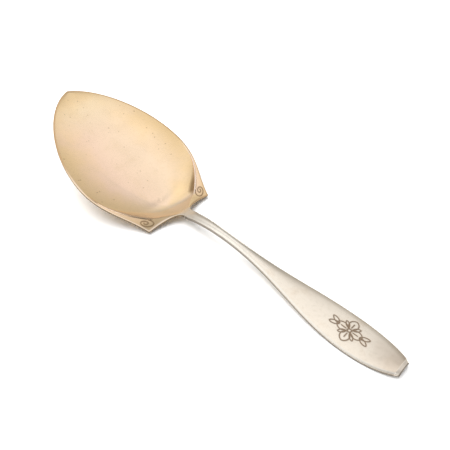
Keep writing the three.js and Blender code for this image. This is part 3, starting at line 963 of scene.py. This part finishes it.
def tongue_sections():
    """Sections below the blade's sheet, from the tongue's tip to the neck."""
    under_sheet = (SHEET + JOINT_GAP) / math.cos(math.atan(neck_slope))
    tip_bottom = tongue_tip[2] - SHEET - JOINT_GAP - TONGUE_TIP_THICKNESS
    neck_bottom = top_edge(neck_x) - STEM_THICKNESS
    for share in np.linspace(0, 1, TONGUE_SECTIONS):
        x = mix(tongue_tip[0], neck_x, share)
        u = mix(tab_back - TONGUE_LENGTH, tab_back, share)
        on_axis = axis_point(u)[2] if u <= mouth_tab[0] else top_edge(x)
        width = mix(TONGUE_TIP_WIDTH / 2, neck_plan[1], share)
        bottom = mix(tip_bottom, neck_bottom, share)
        yield section(x, width, on_axis - under_sheet, bottom, 0, TONGUE_BEVEL)


def stem_sections():
    """Sections of the stem and the grip, closer together at the engraving."""
    sides = (neck_side, stem_side, grip_side)
    line = np.concatenate([side(np.linspace(0, 1, OUTLINE_SAMPLES)) for side in sides])
    low, high = ORNAMENT_X - ORNAMENT_REACH, ORNAMENT_X + ORNAMENT_REACH
    places = np.concatenate([
        np.linspace(neck_x, low, STEM_SECTIONS),
        steps(low, high, ORNAMENT_SECTIONS),
        steps(high, bevel_plan[0], GRIP_SECTIONS),
    ])
    for x, width in zip(places, np.interp(places, line[:, 0], line[:, 1])):
        shaping = float(smooth(neck_x, neck_x + SHOULDER_LENGTH, x))
        crown = mix(STEM_CROWN, GRIP_CROWN, float(smooth(arch_x, grip_x, x))) * shaping
        yield section(x, width, top_edge(x), bottom_edge(x), crown, BEVEL_HEIGHT * shaping)


def end_sections():
    """Sections of the bevelled end and of its rounding, up to the end face."""
    for share in steps(0, 1, BEVEL_SECTIONS):
        x = mix(end_x - END_BEVEL, end_x - END_ROUNDING, share)
        width = mix(bevel_plan[1], END_WIDTH / 2, share)
        top = top_edge(x) - BEVEL_HEIGHT * share
        yield section(x, width, top, bottom_edge(x), GRIP_CROWN, BEVEL_HEIGHT)
    insets = [
        (END_ROUNDING * (1 - math.sin(angle)), END_ROUNDING * (1 - math.cos(angle)))
        for angle in steps(0, math.pi / 2, END_SECTIONS)
    ]
    top, bottom = top_edge(end_x) - BEVEL_HEIGHT, bottom_edge(end_x)
    for before_end, inset in [*insets, (0, END_FACE_INSET)]:
        x = end_x - before_end
        yield section(x, END_WIDTH / 2, top, bottom, GRIP_CROWN, BEVEL_HEIGHT, inset)


def petal(length, width, start):
    """Outline of a pointed leaf that grows along the first axis."""
    t = np.linspace(0, math.pi, PETAL_SAMPLES)
    side = width / 2 * np.sin(t) ** PETAL_POINT
    reach = start + length * (1 - np.cos(t)) / 2
    return np.concatenate([np.column_stack([reach, side]), np.column_stack([reach, -side])])


def turned(line, degrees):
    angle = math.radians(degrees)
    c, s = math.cos(angle), math.sin(angle)
    return line @ np.array([[c, s], [-s, c]])


def ornament_lines():
    """Engraved rosette of four petals with leaves between and beyond them."""
    lines = []
    outer = petal(PETAL_LENGTH, PETAL_WIDTH, EYE_RADIUS)
    rib = np.column_stack([np.linspace(*RIB, RIB_SAMPLES), np.zeros(RIB_SAMPLES)])
    between = petal(LEAF_LENGTH * SMALL_LEAF, LEAF_WIDTH * SMALL_LEAF, SMALL_LEAF_FROM)
    for quarter in (0, 90, 180, 270):
        lines += [turned(outer, quarter), turned(rib, quarter), turned(between, quarter + 45)]
    for way in (0, 180):
        for spread in (-LEAF_SPREAD, LEAF_SPREAD):
            leaf = turned(petal(LEAF_LENGTH, LEAF_WIDTH, 0), spread) + (LEAF_FROM, 0)
            lines.append(turned(leaf, way))
    ring = np.linspace(0, 2 * math.pi, EYE_SAMPLES)
    lines.append(EYE_RADIUS * np.column_stack([np.cos(ring), np.sin(ring)]))
    return np.concatenate(lines)


def ornament_groove(points, below_top):
    gap = line_distance(points[:, :2], ornament_lines() + (ORNAMENT_X, 0))
    return bump(gap, ORNAMENT_LINE) * (below_top < BEVEL_HEIGHT)


def handle_marks(points, below_top, half_widths):
    """Shares of painted shade on the sides and the right part, and of painted highlight on the left
    bevel and the end, for the material.
    """
    x, y, z = points.T
    bottoms = np.array([bottom_edge(place) for place in x])
    # Painted shade on the sides
    start = np.where(y > 0, FLANK_FROM_RIGHT, FLANK_FROM_LEFT)
    flank = smooth(start, start + FLANK_FADE, below_top)
    flank *= (z > bottoms + FLANK_ABOVE_BOTTOM) & (x > neck_x)
    flank *= (x < end_x - END_BEVEL) | (below_top > FLANK_BELOW_END)
    flank = np.maximum(flank, smooth(*FLANK_AT_END, x - end_x))
    # Painted shade towards the right edge of the grip and on the stem's right part
    on_grip = smooth(-GRIP_SHADE_REACH, 0, y - half_widths)
    shade_from = mix(*STEM_SHADE_FROM, smooth(neck_x, arch_x + STEM_SHADE_LENGTH, x))
    on_stem = smooth(shade_from, shade_from + STEM_SHADE_WIDTH, y / half_widths)
    on_stem = on_stem * smooth(neck_x, neck_x + STEM_SHADE_LENGTH, x)
    # Painted highlight on the left bevel and on the end's bevel
    lit = smooth(*LIT_ACROSS, -y - half_widths) * (1 - smooth(*LIT_DOWN, below_top))
    lit = np.maximum(lit, LIT_END_SHARE * smooth(*LIT_END, x - end_x))
    return {
        "flank": flank,
        "shade": mix(on_stem, on_grip, smooth(waist_plan[0], grip_x, x)),
        "lit": lit * smooth(neck_x + SHOULDER_LENGTH, arch_x, x),
    }


def make_handle(material):
    """The handle as sections along x, closed by a face at each end."""
    rings = np.array([*tongue_sections(), *stem_sections(), *end_sections()])
    count = rings.shape[1]
    faces = ring_faces(len(rings), count)
    faces.append(list(range(count))[::-1])
    faces.append(list(range((len(rings) - 1) * count, len(rings) * count)))
    points = rings.reshape(-1, 3)
    below_top = np.array([top_edge(x) for x in points[:, 0]]) - points[:, 2]
    values = handle_marks(points, below_top, np.repeat(rings[..., 1].max(1), count))
    values["cut"] = ornament_groove(points, below_top)
    points[:, 2] -= ORNAMENT_DEPTH * values["cut"]
    handle = mesh_piece("silver_handle", points, faces, material, values)
    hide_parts("handle")


def add(tree, kind, inputs, output=0, **settings):
    """A new node with its settings made and its inputs linked or set; gives one of its outputs."""
    node = tree.nodes.new(kind)
    for key, value in settings.items():
        setattr(node, key, value)
    for key, value in inputs.items():
        if isinstance(value, bpy.types.NodeSocket):
            tree.links.new(value, node.inputs[key])
        else:
            node.inputs[key].default_value = value
    return node.outputs[output]


def calc(tree, operation, a, b):
    return add(tree, "ShaderNodeMath", {0: a, 1: b}, operation=operation)


def times(tree, a, b):
    return calc(tree, "MULTIPLY", a, b)


def ramp(tree, value, low, high, start=0.0, end=1.0, curve="SMOOTHSTEP"):
    inputs = {"Value": value, "From Min": low, "From Max": high, "To Min": start, "To Max": end}
    return add(tree, "ShaderNodeMapRange", inputs, interpolation_type=curve)


def blend(tree, share, a, b):
    return add(tree, "ShaderNodeMix", {0: share, 6: a, 7: b}, 2, data_type="RGBA")


def noise(tree, place, scale, detail):
    return add(tree, "ShaderNodeTexNoise", {"Vector": place, "Scale": scale, "Detail": detail})


def attribute(tree, name):
    return add(tree, "ShaderNodeAttribute", {}, "Fac", attribute_name=name)


def with_wear_and_light(tree, color, wear):
    """A colour with those of the wear and of the painted light over it, each by its share of one of
    the attributes.
    """
    for name, share, over in wear:
        color = blend(tree, times(tree, attribute(tree, name), share), color, over)
    return color


def scratches(tree, place, angle):
    """Fine straight streaks in one direction of the table's plane."""
    rotation = (0, 0, math.radians(angle))
    inputs = {"Vector": place, "Rotation": rotation, "Scale": SCRATCH_STRETCH}
    streaks = noise(tree, add(tree, "ShaderNodeMapping", inputs), *SCRATCH_NOISE)
    return ramp(tree, streaks, *SCRATCH_LIMITS)


def pits(tree, place, scale, radius, share):
    """Small round marks in a share of the cells of a pattern."""
    cells = add(tree, "ShaderNodeTexVoronoi", {"Vector": place, "Scale": scale}).node.outputs
    chance = add(tree, "ShaderNodeSeparateColor", {0: cells["Color"]})
    size = ramp(tree, chance, 1 - share, 1, 0, radius * scale)
    return calc(tree, "LESS_THAN", cells["Distance"], size)


def finish_metal(tree, place, color, cut, rough, mottled, dull=None):
    """Marks, bump and roughness shared by the metals, into the shader."""
    scratch = calc(tree, "MAXIMUM", *(scratches(tree, place, angle) for angle in SCRATCH_ANGLES))
    marks = pits(tree, place, *PITS)
    mottle = ramp(tree, noise(tree, place, *MOTTLE), *MOTTLE_LIMITS, 0, mottled)
    color = blend(tree, mottle, color, TARNISH_AND_SHADE)
    color = blend(tree, times(tree, marks, PIT_DIRT), color, DIRT_AND_SHADE)
    # The cut share gives dirt in grooves and, on the blade, painted shade at the mouth
    color = blend(tree, times(tree, cut, CUT_DIRT_AND_SHADE), color, DIRT_AND_SHADE)
    uneven = noise(tree, place, *UNEVEN)
    roughness = ramp(tree, uneven, *UNEVEN_LIMITS, rough, rough + UNEVEN_ROUGHNESS)
    roughness = calc(tree, "ADD", roughness, times(tree, scratch, SCRATCH_ROUGHNESS))
    roughness = calc(tree, "ADD", roughness, times(tree, cut, CUT_ROUGHNESS))
    if dull:
        roughness = calc(tree, "ADD", roughness, times(tree, dull, DULL_ROUGHNESS))
    height = times(tree, uneven, UNEVEN_HEIGHT)
    height = calc(tree, "SUBTRACT", height, times(tree, scratch, SCRATCH_DEPTH))
    height = calc(tree, "SUBTRACT", height, marks)
    bumps = {"Height": height, "Distance": BUMP_METRES, "Strength": 1}
    shader = tree.nodes["Principled BSDF"]
    shader.inputs["Metallic"].default_value = 1
    tree.links.new(color, shader.inputs["Base Color"])
    tree.links.new(roughness, shader.inputs["Roughness"])
    tree.links.new(add(tree, "ShaderNodeBump", bumps), shader.inputs["Normal"])


def new_metal(name):
    material = bpy.data.materials.new(name)
    material.use_nodes = True
    tree = material.node_tree
    return material, tree, add(tree, "ShaderNodeTexCoord", {}, "Object")


def make_gilt():
    material, tree, place = new_metal("gilt_silver")
    inside, across, cut = (attribute(tree, key) for key in ("inside", "across", "cut"))
    along_x = add(tree, "ShaderNodeSeparateXYZ", {0: place})
    yellow_from, yellow_to = ((shift + u) * MM for u in YELLOW_FADES)
    cloud = noise(tree, place, *GILT_CLOUD)
    cloud = ramp(tree, cloud, *GILT_CLOUD_LIMITS, -GILT_CLOUD_REACH, GILT_CLOUD_REACH)
    depth = calc(tree, "ADD", inside, cloud)
    color = blend(tree, ramp(tree, across, *ROSE_TO_PALE), GOLD_ROSE, GOLD_PALE)
    yellow = ramp(tree, along_x, yellow_from, yellow_to, YELLOW_SHARE, 0)
    color = blend(tree, yellow, color, GOLD_YELLOW)
    color = blend(tree, ramp(tree, depth, *DEEP_TO_PALE), GOLD_DEEP, color)
    stains = noise(tree, place, *GILT_STAINS)
    stains = ramp(tree, stains, *GILT_STAIN_LIMITS, 0, GILT_STAIN_SHARE)
    color = blend(tree, stains, color, GOLD_STAIN)
    color = with_wear_and_light(tree, color, GILT_WEAR_AND_PAINTED_LIGHT)
    fade = times(tree, noise(tree, place, *NECK_CLOUD), GILT_FADE_CLOUD)
    fade = calc(tree, "ADD", attribute(tree, "neck"), fade)
    color = blend(tree, ramp(tree, fade, *GILT_FADES), color, SILVER_STEM)
    dull = ramp(tree, fade, *GILT_FADES, 0, NECK_DULL)
    color = blend(tree, dull, color, TARNISH_AND_SHADE)
    color = with_wear_and_light(tree, color, GILT_TARNISH_AND_SHADE)
    speck_share = ramp(tree, inside, *SPECK_LIMITS, *SPECK_SHARES)
    color = blend(tree, times(tree, pits(tree, place, *SPECKS), speck_share), color, DIRT_AND_SHADE)
    finish_metal(tree, place, color, cut, GILT_ROUGHNESS, GILT_MOTTLE, dull)
    return material


def make_silver():
    material, tree, place = new_metal("old_silver")
    along_x = add(tree, "ShaderNodeSeparateXYZ", {0: place})

    def over(value, limits, start=0.0, end=1.0):
        """A ramp between two places in millimetres along x."""
        low, high = (limit * MM for limit in limits)
        return ramp(tree, value, low, high, start, end)

    cloud = times(tree, noise(tree, place, *SILVER_CLOUD), SILVER_CLOUD_REACH * MM)
    clouded = calc(tree, "ADD", along_x, cloud)
    color = blend(tree, over(clouded, STEM_TO_GRIP), SILVER_STEM, SILVER_GRIP)
    color = blend(tree, over(clouded, GRIP_TO_END), color, SILVER_END)
    stains = noise(tree, place, *SILVER_STAINS)
    stains = ramp(tree, stains, *SILVER_STAIN_LIMITS, 0, SILVER_STAIN_SHARE)
    color = blend(tree, stains, color, SILVER_STAIN)
    fade = times(tree, noise(tree, place, *NECK_CLOUD), TONGUE_GOLD_CLOUD * MM)
    fade = calc(tree, "ADD", along_x, fade)
    silvered = over(fade, [neck_x + limit for limit in TONGUE_GOLD_FADES])
    color = blend(tree, silvered, GOLD_DEEP, color)
    dull = over(along_x, (neck_x, neck_x + NECK_DULL_REACH), NECK_DULL, 0)
    color = blend(tree, dull, color, TARNISH_AND_SHADE)
    color = with_wear_and_light(tree, color, SILVER_PAINTED_LIGHT)
    cut = attribute(tree, "cut")
    finish_metal(tree, place, color, cut, SILVER_ROUGHNESS, SILVER_MOTTLE, dull)
    return material


def make_solder():
    material, tree, place = new_metal("hard_solder")
    color = blend(tree, noise(tree, place, *SOLDER_CLOUD), SOLDER, SILVER_STEM)
    cut = ramp(tree, noise(tree, place, *SOLDER_DIRT), *SOLDER_DIRT_LIMITS)
    finish_metal(tree, place, color, cut, SOLDER_ROUGHNESS, SOLDER_MOTTLE)
    return material


def make_floor():
    mesh = bpy.data.meshes.new("floor")
    corners = [(x * FLOOR_HALF, y * FLOOR_HALF, 0) for x, y in ((-1, -1), (1, -1), (1, 1), (-1, 1))]
    mesh.from_pydata(corners, [], [(0, 1, 2, 3)])
    material = bpy.data.materials.new("pale_floor")
    material.use_nodes = True
    shader = material.node_tree.nodes["Principled BSDF"]
    shader.inputs["Base Color"].default_value = FLOOR_COLOR
    shader.inputs["Roughness"].default_value = FLOOR_ROUGHNESS
    shader.inputs["Specular IOR Level"].default_value = 0
    mesh.materials.append(material)
    floor = linked("floor", mesh)


def direction(azimuth, elevation):
    a, e = math.radians(azimuth), math.radians(elevation)
    return Vector((math.sin(a) * math.cos(e), math.cos(a) * math.cos(e), math.sin(e)))


def make_world():
    world = bpy.data.worlds.new("studio")
    bpy.context.scene.world = world
    world.use_nodes = True
    tree = world.node_tree
    place = add(tree, "ShaderNodeTexCoord", {}, "Generated")
    height = add(tree, "ShaderNodeSeparateXYZ", {0: place}, "Z")
    total = ramp(tree, height, 0, 1, SURROUND, SURROUND + SURROUND_RISE, "LINEAR")
    for centre, inner, outer, extra in PATCHES:
        inputs = {0: place, 1: direction(*centre)}
        towards = add(tree, "ShaderNodeVectorMath", inputs, "Value", operation="DOT_PRODUCT")
        low, high = math.cos(math.radians(outer)), math.cos(math.radians(inner))
        total = calc(tree, "ADD", total, ramp(tree, towards, low, high, 0, extra))
    total = times(tree, total, ramp(tree, height, 0, HORIZON_REACH, HORIZON_SHARE, 1))
    total = calc(tree, "MAXIMUM", total, DARKEST)
    tree.links.new(total, tree.nodes["Background"].inputs["Color"])


def make_key_light():
    data = bpy.data.lights.new("key", "AREA")
    data.shape = "DISK"
    data.size = KEY_SIZE
    data.energy = KEY_POWER
    key = linked("key", data)
    towards = direction(*KEY_DIRECTION)
    key.location = towards * KEY_DISTANCE
    key.rotation_euler = towards.to_track_quat("Z", "Y").to_euler()
    key.visible_glossy = False


def make_camera():
    data = bpy.data.cameras.new("camera")
    data.sensor_width = CAMERA_SENSOR
    data.lens = CAMERA_LENS
    data.clip_start = CAMERA_NEAREST
    camera = linked("camera", data)
    right = Vector((math.sin(CAMERA_TURN), math.cos(CAMERA_TURN), 0))
    level = Vector((-math.cos(CAMERA_TURN), math.sin(CAMERA_TURN), 0))
    view = level * math.cos(CAMERA_DROP) - Vector((0, 0, 1)) * math.sin(CAMERA_DROP)
    up = right.cross(view)
    cosine, sine = math.cos(CAMERA_ROLL), math.sin(CAMERA_ROLL)
    right, up = right * cosine + up * sine, up * cosine - right * sine
    rotation = Matrix((right, up, -view)).transposed().to_4x4()
    camera.matrix_world = Matrix.Translation(Vector(CAMERA_PLACE) * MM) @ rotation
    bpy.context.scene.camera = camera


make_blade(make_gilt())
make_handle(make_silver())
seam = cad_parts["solder_seam"]
seam.data.materials.clear()
seam.data.materials.append(make_solder())
make_floor()
make_world()
make_key_light()
make_camera()
bpy.context.scene.view_settings.view_transform = "Standard"
